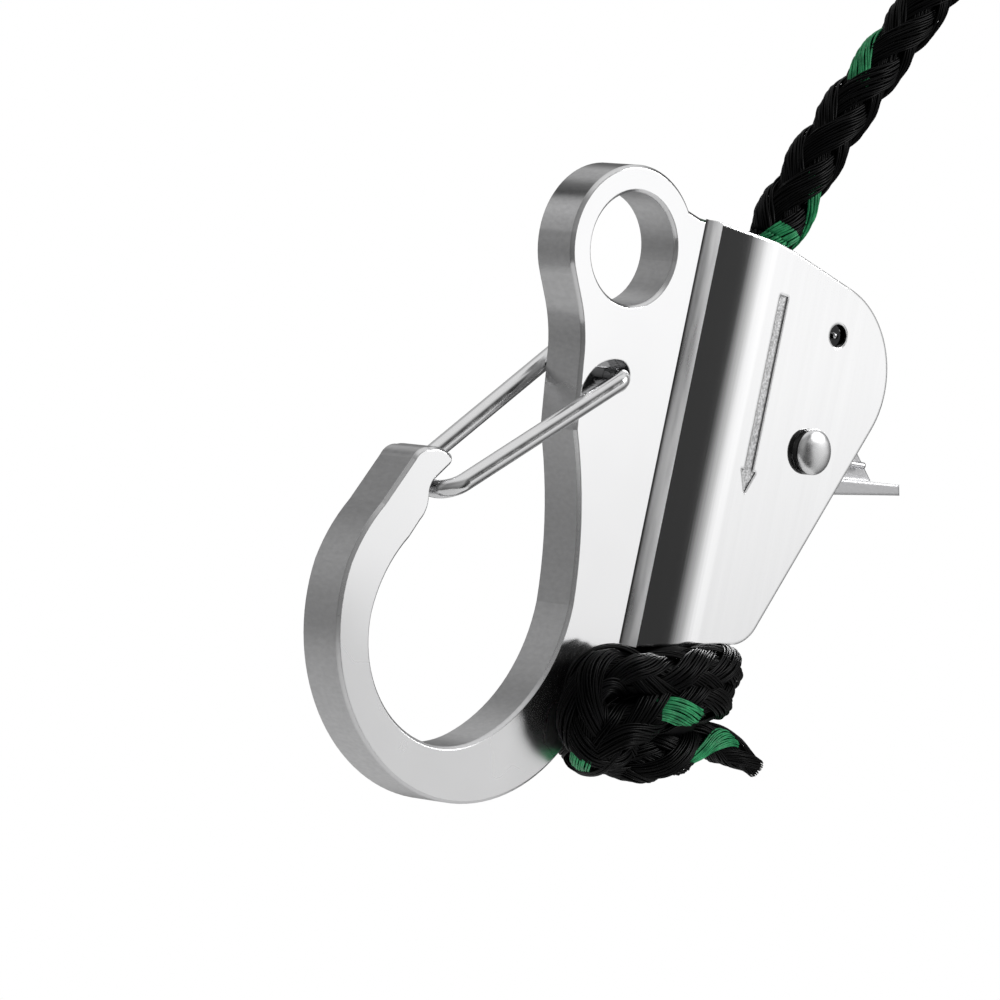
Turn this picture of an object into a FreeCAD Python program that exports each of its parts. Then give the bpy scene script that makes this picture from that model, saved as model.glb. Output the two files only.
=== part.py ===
import FreeCAD, Part

import math
import os

import Sketcher
from FreeCAD import Placement, Rotation, Vector

# Eye hook with a sprung wire gate and a self-locking rope housing welded to its back.
# Frame: origin at the centre of the eye bore, on the middle plane of the plate.
# +X points from the hook towards the rope housing, +Y to the rear face, +Z up along the housing.

DIMENSIONS = {
    # hook plate
    "plate_thickness": 12.0,
    "eye_radius": 18.6,
    "eye_bore": 25.0,
    "bowl_inner_radius": 24.5,
    "shank_inner_radius": 40.0,
    "bowl_outer_radius": 39.6,
    "edge_break": 0.7,
    "recess_depth": 3.0,
    "gate_bore_depth": 4.6,
    "gate_slot_depth": 6.4,
    # rope housing
    "sheet_thickness": 2.0,
    "housing_width": 16.0,
    "housing_left": 22.0,
    "rope_channel": 30.0,
    "lead_in_end": 41.0,
    "lead_in_rise": 1.75,
    "fold_corner": 1.6,
    "housing_top": 11.7,
    "housing_bottom": -85.6,
    "bottom_slope": 12.4,
    "cheek_nose_radius": 21.0,
    "leg_hole": 5.2,
    "arrow_depth": 0.3,
    "seam_foot": 19.4,
    # cam pivot
    "pivot_along": 63.0,
    "pivot_height": -32.2,
    "pin_diameter": 8.0,
    "pin_head_diameter": 10.4,
    "pin_head_height": 3.0,
    "bush_diameter": 10.0,
    "running_clearance": 0.05,
    "spacer_thickness": 0.5,
    "spacer_diameter": 15.0,
    "washer_thickness": 1.2,
    "washer_diameter": 14.0,
    # cam lever
    "cam_width": 10.2,
    "cam_face_radius": 21.3,
    "cam_tooth_depth": 0.8,
    "hub_radius": 11.0,
    "spring_pocket_depth": 5.3,
    "spring_pocket_diameter": 18.0,
    "gusset_width": 2.8,
    # torsion spring
    "spring_wire": 1.6,
    "spring_mean_radius": 6.7,
    # gate
    "gate_wire": 4.0,
    "gate_leg_offset": 8.3,
    "gate_pivot_along": 3.2,
    "gate_pivot_height": -28.4,
    "gate_rear_step": 10.5,
    # rope
    "rope_diameter": 10.0,
    "rope_exit_lean": 21.0,
    "rope_lean": 31.0,
    "rope_bend_height": 26.0,
    "rope_free_length": 87.0,
    "seizing_length": 12.0,
    "seizing_diameter": 21.4,
    "thimble_groove_radius": 8.0,
    "thimble_wall": 1.6,
    "thimble_width": 6.8,
    "knot_length": 43.6,
    "knot_depth": 35.0,
    "knot_height": 28.4,
    "knot_tail": 26.5,
    "knot_gap": 0.6,
}

doc = FreeCAD.newDocument("EyeHook")
sheet = doc.addObject("Spreadsheet::Sheet", "Dimensions")
for row, (alias, value) in enumerate(DIMENSIONS.items(), start=1):
    sheet.set(f"A{row}", alias.replace("_", " "))
    sheet.set(f"B{row}", str(value))
    sheet.setAlias(f"B{row}", alias)
doc.recompute()

SUB_PARTS = []


def size(alias):
    """The value of one driving dimension."""
    return float(getattr(sheet, alias))


# Shared places, worked out from the sheet

HALF_PLATE = size("plate_thickness") / 2
HALF_HOUSING = size("housing_width") / 2
HALF_GAP = HALF_HOUSING - size("sheet_thickness")
FOLD_LEFT = size("housing_left")
PIVOT = Vector(size("pivot_along"), 0, size("pivot_height"))
GATE_FRONT = Vector(size("gate_pivot_along"), 0, size("gate_pivot_height"))
GATE_REAR = GATE_FRONT + Vector(0, 0, size("gate_rear_step"))
GATE_NOSE_FRONT = Vector(-40.9, 0, -63.7)
GATE_NOSE_REAR = Vector(-40.9, 0, -62.2)
FACING_FRONT = Rotation(Vector(1, 0, 0), 90)
FACING_REAR = Rotation(Vector(1, 0, 0), -90)


def polar(centre, radius, degrees):
    """A point of the XZ plane, given by its angle from +X towards +Z."""
    angle = math.radians(degrees)
    return centre + Vector(radius * math.cos(angle), 0, radius * math.sin(angle))


def flat(along, height):
    """A point of the middle plane."""
    return Vector(along, 0, height)


# Helpers for bodies and sketches


def new_body(name):
    body = doc.addObject("PartDesign::Body", name)
    body.Label = name
    SUB_PARTS.append(body)
    return body


def new_sketch(body, name, role="XZ_Plane", offset=0.0):
    """A sketch on one of the body's origin planes; on XZ_Plane a positive offset is towards -Y."""
    sketch = body.newObject("Sketcher::SketchObject", name)
    origin_plane = next(f for f in body.Origin.OriginFeatures if f.Role == role)
    sketch.AttachmentSupport = [(origin_plane, "")]
    sketch.MapMode = "FlatFace"
    sketch.AttachmentOffset = Placement(Vector(0, 0, offset), Rotation())
    return sketch


def on_sheet(point):
    """A point of the XZ plane in a sketch's own coordinates."""
    return Vector(point.x, point.z, 0)


def outline(sketch, start, steps):
    """Draws a closed outline from start: each step is (end,) for a line or (middle, end) for an arc."""
    here = start
    for step in steps:
        if len(step) == 1:
            sketch.addGeometry(Part.LineSegment(on_sheet(here), on_sheet(step[0])), False)
        else:
            arc = Part.Arc(on_sheet(here), on_sheet(step[0]), on_sheet(step[1]))
            sketch.addGeometry(arc, False)
        here = step[-1]


def circle(sketch, centre, diameter, clearance=None):
    """A circle at a fixed place; diameter and clearance, if there is one, are cells of the sheet."""
    radius = size(diameter) / 2
    expression = f"Dimensions.{diameter} / 2"
    if clearance:
        radius += size(clearance)
        expression += f" + Dimensions.{clearance}"
    index = sketch.addGeometry(Part.Circle(on_sheet(centre), Vector(0, 0, 1), radius), False)
    sketch.addConstraint(Sketcher.Constraint("DistanceX", -1, 1, index, 3, centre.x))
    sketch.addConstraint(Sketcher.Constraint("DistanceY", -1, 1, index, 3, centre.z))
    constraint = sketch.addConstraint(Sketcher.Constraint("Radius", index, radius))
    sketch.setExpression(f"Constraints[{constraint}]", expression)


def pad(body, sketch, name, length, midplane=False, reverse=False):
    """length is an expression over the sheet."""
    feature = body.newObject("PartDesign::Pad", name)
    feature.Profile = sketch
    feature.setExpression("Length", length)
    feature.Midplane = midplane
    feature.Reversed = reverse
    doc.recompute()
    return feature


def pocket(body, sketch, name, length, midplane=False, reverse=False):
    """Cuts to a depth, given as an expression, and makes sure that it took material away."""
    before = body.Shape.Volume
    feature = body.newObject("PartDesign::Pocket", name)
    feature.Profile = sketch
    feature.setExpression("Length", length)
    feature.Midplane = midplane
    feature.Reversed = reverse
    doc.recompute()
    if body.Shape.Volume >= before - 0.01:
        raise RuntimeError(f"{name} removed nothing")
    return feature


def break_edges(body, name, width, wanted):
    """Chamfers the edges of the body's tip that wanted(edge) picks."""
    tip = body.Tip
    names = [f"Edge{i}" for i, edge in enumerate(tip.Shape.Edges, start=1) if wanted(edge)]
    feature = body.newObject("PartDesign::Chamfer", name)
    feature.Base = (tip, names)
    feature.setExpression("Size", width)
    doc.recompute()
    return feature


def revolved(name, profile, base, rotation):
    """A turned piece: profile holds (radius, height) points, and the axis is the local Z axis."""
    body = new_body(name)
    sketch = new_sketch(body, name + "_profile")
    points = [flat(radius, height) for radius, height in profile]
    outline(sketch, points[0], [(p,) for p in points[1:]] + [(points[0],)])
    turn = body.newObject("PartDesign::Revolution", name + "_turn")
    turn.Profile = sketch
    turn.ReferenceAxis = (sketch, ["V_Axis"])
    turn.Angle = 360
    body.Placement = Placement(base, rotation)
    doc.recompute()
    return body


def ring(name, outer_alias, bore, thickness, front):
    """A flat ring on the pivot axis whose front face is at y = front."""
    body = new_body(name)
    sketch = new_sketch(body, name + "_outline")
    circle(sketch, flat(0, 0), outer_alias)
    sketch.addGeometry(Part.Circle(Vector(0, 0, 0), Vector(0, 0, 1), bore / 2), False)
    pad(body, sketch, name + "_pad", thickness, reverse=True)
    body.Placement = Placement(PIVOT + Vector(0, front, 0), Rotation())
    doc.recompute()
    return body


def feature_from_shape(name, shape, placement=None):
    """A piece made by sweeps, which neither a body nor a primitive describes well."""
    part = doc.addObject("Part::Feature", name)
    part.Label = name
    part.Shape = shape
    part.Placement = placement or Placement()
    SUB_PARTS.append(part)
    return part


def bent_path(points, radii):
    """Straight runs through the points, joined by tangent arcs of the given radii."""
    edges = []
    here = points[0]
    for before, corner, after, radius in zip(points, points[1:], points[2:], radii):
        back = (before - corner).normalize()
        on = (after - corner).normalize()
        half_turn = (math.pi - back.getAngle(on)) / 2
        reach = radius * math.tan(half_turn)
        start = corner + back * reach
        end = corner + on * reach
        middle_line = (back + on).normalize()
        middle = corner + middle_line * (radius / math.cos(half_turn) - radius)
        if (start - here).Length > 1e-6:
            edges.append(Part.LineSegment(here, start).toShape())
        edges.append(Part.Arc(start, middle, end).toShape())
        here = end
    if (points[-1] - here).Length > 1e-6:
        edges.append(Part.LineSegment(here, points[-1]).toShape())
    return Part.Wire(edges)


def rod(path, diameter):
    """A round bar along a wire."""
    first = path.Edges[0]
    start = first.valueAt(first.FirstParameter)
    along = first.tangentAt(first.FirstParameter)
    section = Part.Wire([Part.Circle(start, along, diameter / 2).toShape()])
    solid = path.makePipeShell([section], True, False)
    expected = math.pi * diameter**2 / 4 * path.Length
    if abs(solid.Volume / expected - 1) > 0.01:
        raise RuntimeError(f"a rod has volume {solid.Volume:.0f} instead of {expected:.0f}")
    return solid


# Hook plate: eye, shank, bowl, arm and beak in one 12 mm plate


def hook_outline(sketch):
    eye = flat(0, 0)
    bowl = flat(-28.5, -93.0)
    # the bowl's and the shank's arcs meet at this angle, and share a tangent there
    meeting_angle = -56.6
    shank_start = polar(bowl, size("bowl_inner_radius"), meeting_angle)
    shank_centre = polar(shank_start, -size("shank_inner_radius"), meeting_angle)
    shank_side = polar(shank_centre, size("shank_inner_radius"), 0)
    belly = flat(-23.5, -89.5)
    belly_radius = size("bowl_outer_radius")
    start = polar(eye, size("eye_radius"), 40)
    outline(
        sketch,
        start,
        [
            # top of the plate beside the housing, and the edge that is welded to the fold
            (flat(18.0, 11.2),),
            (flat(FOLD_LEFT, 11.2),),
            (flat(FOLD_LEFT, size("housing_bottom")),),
            (polar(belly, belly_radius, -23.3),),
            # outside of the bowl, then of the arm
            (polar(belly, belly_radius, -100), polar(belly, belly_radius, 172)),
            (flat(-60.4, -76.5), flat(-56.6, -69.5)),
            (flat(-50.7, -58.4),),
            (flat(-49.2, -56.2), flat(-46.6, -55.1)),
            # beak with a rounded nose, and the notch that the gate closes into
            (flat(-43.6, -54.5), flat(-40.9, -55.1)),
            (flat(-39.4, -56.2), flat(-39.8, -57.6)),
            (flat(-43.1, -61.5),),
            (flat(-43.8, -63.2), flat(-43.8, -65.0)),
            # inside of the arm, down into the bowl
            (flat(-43.6, -68.0), flat(-44.8, -71.0)),
            (flat(-46.9, -75.2),),
            (flat(-51.4, -84.0), polar(bowl, size("bowl_inner_radius"), 180)),
            (polar(bowl, size("bowl_inner_radius"), -118), shank_start),
            # inside of the shank, up to the neck
            (polar(shank_centre, size("shank_inner_radius"), -28), shank_side),
            (flat(0.3, -62.0), flat(-6.4, -42.5)),
            (flat(-8.7, -27.4),),
            (flat(-10.3, -20.4), flat(-13.4, -13.9)),
            (polar(eye, size("eye_radius"), 211),),
            (polar(eye, size("eye_radius"), 120), start),
        ],
    )
    circle(sketch, eye, "eye_bore")


def recess_outline(sketch, pivot):
    """A milled recess round a gate pivot, whose lower edge runs along the gate's leg."""
    rim = 3.8
    heel = 3.3
    heel_angle = -51
    outline(
        sketch,
        pivot + Vector(0, 0, rim),
        [
            (polar(pivot, heel, 10), polar(pivot, heel, heel_angle)),
            (pivot + Vector(-9.3, 0, -9.9),),
            (pivot + Vector(-10.0, 0, -4.6),),
            (pivot + Vector(-6.4, 0, 1.5), pivot + Vector(0, 0, rim)),
        ],
    )


def build_hook_plate():
    body = new_body("hook_plate")
    blank = new_sketch(body, "hook_outline")
    hook_outline(blank)
    pad(body, blank, "hook_blank", "Dimensions.plate_thickness", midplane=True)

    def on_a_face(edge):
        box = edge.BoundBox
        flat_edge = box.YLength < 0.01
        beside_fold = box.XMin > FOLD_LEFT - 0.01
        return flat_edge and not beside_fold and abs(abs(box.YMin) - HALF_PLATE) < 0.01

    break_edges(body, "hook_edges", "Dimensions.edge_break", on_a_face)

    # one recess on each face, the rear one higher by the step between the gate's two ends
    for name, pivot, face, reverse in (
        ("recess_front", GATE_FRONT, HALF_PLATE, False),
        ("recess_rear", GATE_REAR, -HALF_PLATE, True),
    ):
        sketch = new_sketch(body, name + "_outline", offset=face)
        recess_outline(sketch, pivot)
        pocket(body, sketch, name, "Dimensions.recess_depth", reverse=reverse)

    # bore that the front end turns in
    recess_floor = HALF_PLATE - size("recess_depth")
    bore = new_sketch(body, "gate_bore_outline", offset=recess_floor)
    circle(bore, GATE_FRONT, "gate_wire", "running_clearance")
    pocket(body, bore, "gate_bore", "Dimensions.gate_bore_depth")

    # curved slot that the rear end moves along as the gate swings round the front end
    slot = new_sketch(body, "gate_slot_outline", offset=-HALF_PLATE)
    slot_outline(slot)
    pocket(body, slot, "gate_slot", "Dimensions.gate_slot_depth", reverse=True)

    # relieved strip on the inside of the shank, under a shoulder that slants with the gate
    outside = -30.0
    relieved_edge = -7.9
    relief = new_sketch(body, "relief_outline", role="YZ_Plane", offset=outside)
    relief_outline(relief)
    pocket(body, relief, "shank_relief", f"{relieved_edge - outside} mm", reverse=True)


def slot_outline(sketch):
    """The band that the gate's rear end sweeps as it swings round the front end."""
    half_width = size("gate_wire") / 2 + 0.4
    outer = size("gate_rear_step") + half_width
    inner = size("gate_rear_step") - half_width
    first, last = 88.0, 140.0
    middle = (first + last) / 2
    cap = flat(0, 0)
    start = polar(GATE_FRONT, outer, first)
    end_cap = polar(GATE_FRONT, size("gate_rear_step"), last) + polar(cap, half_width, last + 90)
    start_cap = polar(GATE_FRONT, size("gate_rear_step"), first) + polar(cap, half_width, first - 90)
    outline(
        sketch,
        start,
        [
            (polar(GATE_FRONT, outer, middle), polar(GATE_FRONT, outer, last)),
            (end_cap, polar(GATE_FRONT, inner, last)),
            (polar(GATE_FRONT, inner, middle), polar(GATE_FRONT, inner, first)),
            (start_cap, start),
        ],
    )


def relief_outline(sketch):
    rear_height, front_height, foot = -28.8, -41.2, -43.5
    side = HALF_PLATE + 1
    corners = [(side, rear_height), (-side, front_height), (-side, foot), (side, foot)]
    points = [Vector(y, z, 0) for y, z in corners]
    for one, two in zip(points, points[1:] + points[:1]):
        sketch.addGeometry(Part.LineSegment(one, two), False)


# Rope housing: 2 mm sheet folded round the rope channel, with two shaped cheeks

NOSE = flat(61.7, -14.5)
CHEEK_SLOPE = 65.5
LEG_HOLE = flat(64.6, -5.0)
FAR_RIGHT = 90.0
THROUGH_HOUSING = "2 * Dimensions.housing_width"


def bottom_edge(along):
    """The point of the housing's slanted bottom edge at a given x."""
    rise = math.tan(math.radians(size("bottom_slope")))
    return flat(along, size("housing_bottom") + (along - FOLD_LEFT) * rise)


def fold_point(along, inset=0.0):
    """A point of the front cheek's curved lead-in, seen from above; inset is towards the rope."""
    end, rise = size("lead_in_end"), size("lead_in_rise")
    run = end - FOLD_LEFT
    radius = (run**2 + rise**2) / (2 * rise)
    angle = math.asin((end - along) / radius)
    reach = radius - inset
    return Vector(end - reach * math.sin(angle), radius - HALF_HOUSING - reach * math.cos(angle), 0)


def mirrored(point):
    """The same point on the rear cheek."""
    return Vector(point.x, -point.y, 0)


def fold_side(inset):
    """Points of the front cheek's section: flat cheek, lead-in, rounded corner and web."""
    corner = size("fold_corner")
    corner_run = 1.2 + 0.7 * inset
    corner_bulge = 0.28 - 0.07 * inset
    corner_start = fold_point(FOLD_LEFT + corner_run, inset)
    corner_end = Vector(FOLD_LEFT + inset, corner_start.y + corner, 0)
    corner_middle = (corner_start + corner_end) * 0.5 + Vector(-corner_bulge, -corner_bulge, 0)
    return (
        fold_point(size("lead_in_end"), inset),
        fold_point((size("lead_in_end") + FOLD_LEFT) / 2, inset),
        corner_start,
        corner_middle,
        corner_end,
    )


def build_lock_housing():
    body = new_body("lock_housing")
    section = new_sketch(body, "housing_section", role="XY_Plane")
    runs = []
    for inset in (0.0, size("sheet_thickness")):
        cheek_end, lead_middle, corner_start, corner_middle, corner_end = fold_side(inset)
        for place in (lambda point: point, mirrored):
            far = Vector(FAR_RIGHT, cheek_end.y, 0)
            runs += [
                Part.LineSegment(place(far), place(cheek_end)),
                Part.Arc(place(cheek_end), place(lead_middle), place(corner_start)),
                Part.Arc(place(corner_start), place(corner_middle), place(corner_end)),
            ]
        runs.append(Part.LineSegment(corner_end, mirrored(corner_end)))
    for side in (-1, 1):
        rim = Vector(FAR_RIGHT, side * HALF_HOUSING, 0)
        inner_rim = Vector(FAR_RIGHT, side * HALF_GAP, 0)
        runs.append(Part.LineSegment(rim, inner_rim))
    section.addGeometry(runs, False)
    section.AttachmentOffset = Placement(Vector(0, 0, size("housing_bottom")), Rotation())
    pad(body, section, "folded_sheet", "Dimensions.housing_top - Dimensions.housing_bottom")

    trim = new_sketch(body, "cheek_trim")
    cheek_outline(trim)
    pocket(body, trim, "cheek_shape", THROUGH_HOUSING, midplane=True)

    pin_hole = new_sketch(body, "pin_hole_outline")
    circle(pin_hole, PIVOT, "pin_diameter")
    pocket(body, pin_hole, "pin_hole", THROUGH_HOUSING, midplane=True)

    leg_hole = new_sketch(body, "leg_hole_outline", offset=HALF_HOUSING)
    circle(leg_hole, LEG_HOLE, "leg_hole")
    pocket(body, leg_hole, "leg_hole_cut", "Dimensions.sheet_thickness")

    arrow = new_sketch(body, "arrow_outline", offset=HALF_HOUSING)
    arrow_outline(arrow)
    pocket(body, arrow, "arrow_cut", "Dimensions.arrow_depth")


def cheek_outline(sketch):
    """The cheek's own outline inside a large frame: the pocket takes away what lies between."""
    top, bottom = size("housing_top"), size("housing_bottom")
    radius = size("cheek_nose_radius")
    left = FOLD_LEFT - 1
    slope_start = polar(NOSE, radius, CHEEK_SLOPE - 90)
    down_slope = polar(flat(0, 0), 1.0, CHEEK_SLOPE + 180)
    along_bottom = (bottom_edge(FAR_RIGHT) - bottom_edge(left)).normalize()

    # the slope and the bottom edge meet at the foot, which is rounded off
    foot = bottom_edge(left)
    across = Vector(down_slope.z, 0, -down_slope.x)
    reach = (slope_start - foot).dot(across) / along_bottom.dot(across)
    foot = foot + along_bottom * reach
    rounding = 4.0
    corner_start = foot - down_slope * rounding
    corner_end = foot - along_bottom * rounding
    corner_middle = (corner_start + corner_end) * 0.3 + foot * 0.4
    outline(
        sketch,
        flat(left, top),
        [
            (flat(size("lead_in_end"), 11.0),),
            (flat(46.5, 10.2),),
            (polar(NOSE, radius, 79),),
            (polar(NOSE, radius, 28), slope_start),
            (corner_start,),
            (corner_middle, corner_end),
            (bottom_edge(left),),
            (flat(left, top),),
        ],
    )
    edge = 20.0
    frame = [
        flat(left - edge, top + edge),
        flat(FAR_RIGHT + edge, top + edge),
        flat(FAR_RIGHT + edge, bottom - edge),
        flat(left - edge, bottom - edge),
    ]
    outline(sketch, frame[0], [(p,) for p in frame[1:]] + [(frame[0],)])


def arrow_outline(sketch):
    """A plain arrow down the cheek: the way that the line is threaded."""
    centre, top, tip = 45.7, 0.0, -45.4
    shaft, head, head_length = 1.25, 2.3, 5.2
    points = [
        flat(centre - shaft, top),
        flat(centre + shaft, top),
        flat(centre + shaft, tip + head_length),
        flat(centre + head, tip + head_length),
        flat(centre, tip),
        flat(centre - head, tip + head_length),
        flat(centre - shaft, tip + head_length),
    ]
    outline(sketch, points[0], [(p,) for p in points[1:]] + [(points[0],)])


# Weld seams: ground beads over the joint between the plate's faces and the fold


def build_weld_seam(name, side):
    """side is -1 on the front face and 1 on the rear face."""
    body = new_body(name)
    sketch = new_sketch(body, name + "_section", role="XY_Plane")
    end_gap = 0.3
    overlap = 2.2
    crown_height = 0.1
    sketch.AttachmentOffset = Placement(Vector(0, 0, size("housing_bottom") + end_gap), Rotation())

    def place(point):
        return point if side < 0 else mirrored(point)

    *_, corner_start, corner_middle, corner_end = fold_side(0.0)
    foot = Vector(size("seam_foot"), -HALF_PLATE, 0)
    shoulder = Vector(FOLD_LEFT, -HALF_PLATE, 0)
    toe = fold_point(FOLD_LEFT + overlap)
    toe_middle = fold_point((corner_start.x + toe.x) / 2)
    crown = (toe + foot) * 0.5 + Vector(0, -crown_height, 0)
    length = f"Dimensions.housing_top - Dimensions.housing_bottom - {2 * end_gap}"
    edges = [
        Part.LineSegment(place(foot), place(shoulder)),
        Part.LineSegment(place(shoulder), place(corner_end)),
        Part.Arc(place(corner_end), place(corner_middle), place(corner_start)),
        Part.Arc(place(corner_start), place(toe_middle), place(toe)),
        Part.Arc(place(toe), place(crown), place(foot)),
    ]
    sketch.addGeometry(edges, False)
    pad(body, sketch, name + "_run", length)


# Cam pivot: rivet, bush, spacers and washer


def build_pivot():
    shank = size("pin_diameter") / 2
    head = size("pin_head_diameter") / 2
    height = size("pin_head_height")
    front = HALF_HOUSING
    washer = size("washer_thickness")
    rear = -HALF_HOUSING - washer
    # heights run along the pin towards the front face
    revolved(
        "pivot_pin",
        [
            (0, rear - 2.0),
            (shank * 0.62, rear - 1.8),
            (shank * 1.12, rear - 0.9),
            (shank * 1.22, rear),
            (shank, rear),
            (shank, front),
            (head, front),
            (head, front + height * 0.62),
            (head * 0.93, front + height * 0.80),
            (head * 0.72, front + height * 0.93),
            (head * 0.38, front + height),
            (0, front + height),
        ],
        PIVOT,
        FACING_FRONT,
    )
    ring("pin_washer", "washer_diameter", size("pin_diameter"), "Dimensions.washer_thickness",
         HALF_HOUSING)
    bush_length = "Dimensions.housing_width - 2 * Dimensions.sheet_thickness"
    ring("cam_bush", "bush_diameter", size("pin_diameter"), bush_length, -HALF_GAP)
    spacer = "Dimensions.spacer_thickness"
    spacer_bore = size("bush_diameter")
    ring("spacer_front", "spacer_diameter", spacer_bore, spacer, -HALF_GAP)
    ring("spacer_rear", "spacer_diameter", spacer_bore, spacer, HALF_GAP - size("spacer_thickness"))


# Cam lever: toothed face towards the rope, hub on the bush, tab and gusset outside the cheeks

CAM_CENTRE = flat(57.0, -40.0)
TOOTH_COUNT = 12
TOOTH_START, TOOTH_END = 158.0, 226.0


def cam_outline(sketch):
    """Teeth as ridges across the eccentric face, then round the nose, the hub and the shoulder."""
    tip = size("cam_face_radius")
    root = tip - size("cam_tooth_depth")
    pitch = (TOOTH_END - TOOTH_START) / TOOTH_COUNT
    steps = []
    for tooth in range(TOOTH_COUNT):
        angle = TOOTH_START + tooth * pitch
        steps.append((polar(CAM_CENTRE, root, angle + 0.7 * pitch),))
        steps.append((polar(CAM_CENTRE, tip, angle + pitch),))
    hub = size("hub_radius")
    start = polar(CAM_CENTRE, tip, TOOTH_START)
    steps += [
        (flat(44.9, -59.3), flat(50.0, -58.2)),
        (polar(PIVOT, hub, -58),),
        (polar(PIVOT, hub, 0), polar(PIVOT, hub, 105)),
        (start,),
    ]
    outline(sketch, start, steps)


def build_cam_lever():
    body = new_body("cam_lever")
    profile = new_sketch(body, "cam_profile")
    cam_outline(profile)
    pad(body, profile, "cam_blank", "Dimensions.cam_width", midplane=True)

    tab = new_sketch(body, "tab_profile")
    tab_points = [flat(68.0, -37.0), flat(95.8, -33.0), flat(96.6, -35.4), flat(68.0, -41.2)]
    outline(tab, tab_points[0], [(p,) for p in tab_points[1:]] + [(tab_points[0],)])
    pad(body, tab, "tab_blank", "Dimensions.cam_width", midplane=True)

    gusset = new_sketch(body, "gusset_profile", offset=-0.4)
    gusset_points = [flat(66.0, -24.0), flat(81.0, -23.8), flat(92.1, -33.4), flat(70.0, -37.6)]
    outline(gusset, gusset_points[0], [(p,) for p in gusset_points[1:]] + [(gusset_points[0],)])
    pad(body, gusset, "gusset_blank", "Dimensions.gusset_width", reverse=True)

    bore = new_sketch(body, "cam_bore_outline")
    circle(bore, PIVOT, "bush_diameter", "running_clearance")
    pocket(body, bore, "cam_bore", THROUGH_HOUSING, midplane=True)

    # pocket for the coil, open upwards for the fixed leg and outwards for the moving leg
    coil = new_sketch(body, "coil_pocket_outline", offset=size("cam_width") / 2)
    reach = size("spring_pocket_diameter") / 2
    outline(
        coil,
        polar(PIVOT, reach, 135),
        [
            (polar(PIVOT, reach, 225), polar(PIVOT, reach, 270)),
            (polar(PIVOT, reach, 315), polar(PIVOT, reach, 335)),
            (flat(PIVOT.x + 16, PIVOT.z - 3.3),),
            (flat(PIVOT.x + 16, PIVOT.z + 16),),
            (flat(PIVOT.x - 6.4, PIVOT.z + 16),),
            (polar(PIVOT, reach, 135),),
        ],
    )
    pocket(body, coil, "coil_pocket", "Dimensions.spring_pocket_depth")


# Torsion spring: coil round the bush, fixed leg up to the hole in the front cheek

SPRING_FRONT = -4.6
SPRING_PITCH = 1.8
SPRING_TURNS = 2


def build_torsion_spring():
    wire = size("spring_wire")
    mean = size("spring_mean_radius")
    helix = Part.makeHelix(SPRING_PITCH, SPRING_PITCH * SPRING_TURNS, mean)
    helix.Placement = Placement(PIVOT + Vector(0, SPRING_FRONT, 0), FACING_REAR)
    helix_wire = Part.Wire(helix.Edges)
    first = helix_wire.Edges[0]
    start = first.valueAt(first.FirstParameter)
    along = first.tangentAt(first.FirstParameter)
    section = Part.Wire([Part.Circle(start, along, wire / 2).toShape()])
    coil = helix_wire.makePipeShell([section], True, True)

    bend = 1.6
    climb = Vector(start.x, SPRING_FRONT, PIVOT.z)
    leg_top = LEG_HOLE + Vector(0, SPRING_FRONT, 0)
    leg_end = LEG_HOLE + Vector(0, -HALF_HOUSING + 0.9, 0)
    leg = rod(bent_path([climb, leg_top, leg_end], [bend]), wire)
    feature_from_shape("torsion_spring", coil.fuse(leg).removeSplitter())

    # the moving leg turns with the cam lever
    rear = SPRING_FRONT + SPRING_PITCH * SPRING_TURNS
    tip = Vector(87.6, rear, -30.6)
    from_coil = Vector(PIVOT.x + mean + 1.8, rear, PIVOT.z - 0.4)
    leg_path = Part.Wire([Part.LineSegment(from_coil, tip).toShape()])
    feature_from_shape("spring_tab_leg", rod(leg_path, wire))


# Gate: one bent wire, front end in its bore and rear end in the curved slot


def build_gate_wire():
    offset = size("gate_leg_offset")
    front_end, rear_end = 1.2, 2.2
    points = [
        GATE_FRONT + Vector(0, -front_end, 0),
        GATE_FRONT + Vector(0, -offset, 0),
        GATE_NOSE_FRONT + Vector(0, -offset, 0),
        GATE_NOSE_REAR + Vector(0, offset, 0),
        GATE_REAR + Vector(0, offset, 0),
        GATE_REAR + Vector(0, rear_end, 0),
    ]
    elbow, nose = 2.5, 4.6
    path = bent_path(points, [elbow, nose, nose, elbow])
    feature_from_shape("gate_wire", rod(path, size("gate_wire")))


# Rope: up through the channel, out of the top under tension, into an eye round a thimble

ROPE_EXIT = flat(45.5, 12.0)
ROPE_FOOT = flat(size("rope_channel"), size("housing_bottom"))


def leaning(alias):
    """A unit vector that leans from +Z towards +X."""
    return polar(flat(0, 0), 1.0, 90 - size(alias))


def rope_tube(name, points, turn):
    """A cord along the points, bent at its middle point through turn degrees."""
    start, corner, end = points
    shorter = min((corner - start).Length, (end - corner).Length)
    radius = 0.45 * shorter / math.tan(math.radians(turn) / 2)
    tube = rod(bent_path(points, [radius]), size("rope_diameter"))
    print(f"{name}: bend radius {radius:.0f} mm")
    return tube


def under_housing():
    """A block below the housing's slanted bottom edge, the knot's gap away from it."""
    reach = 120.0
    block = Part.makeBox(2 * reach, reach, reach, Vector(-reach, -reach / 2, -reach - size("knot_gap")))
    turned = Rotation(Vector(0, 1, 0), -size("bottom_slope"))
    block.Placement = Placement(bottom_edge(FOLD_LEFT), turned)
    return block


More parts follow.
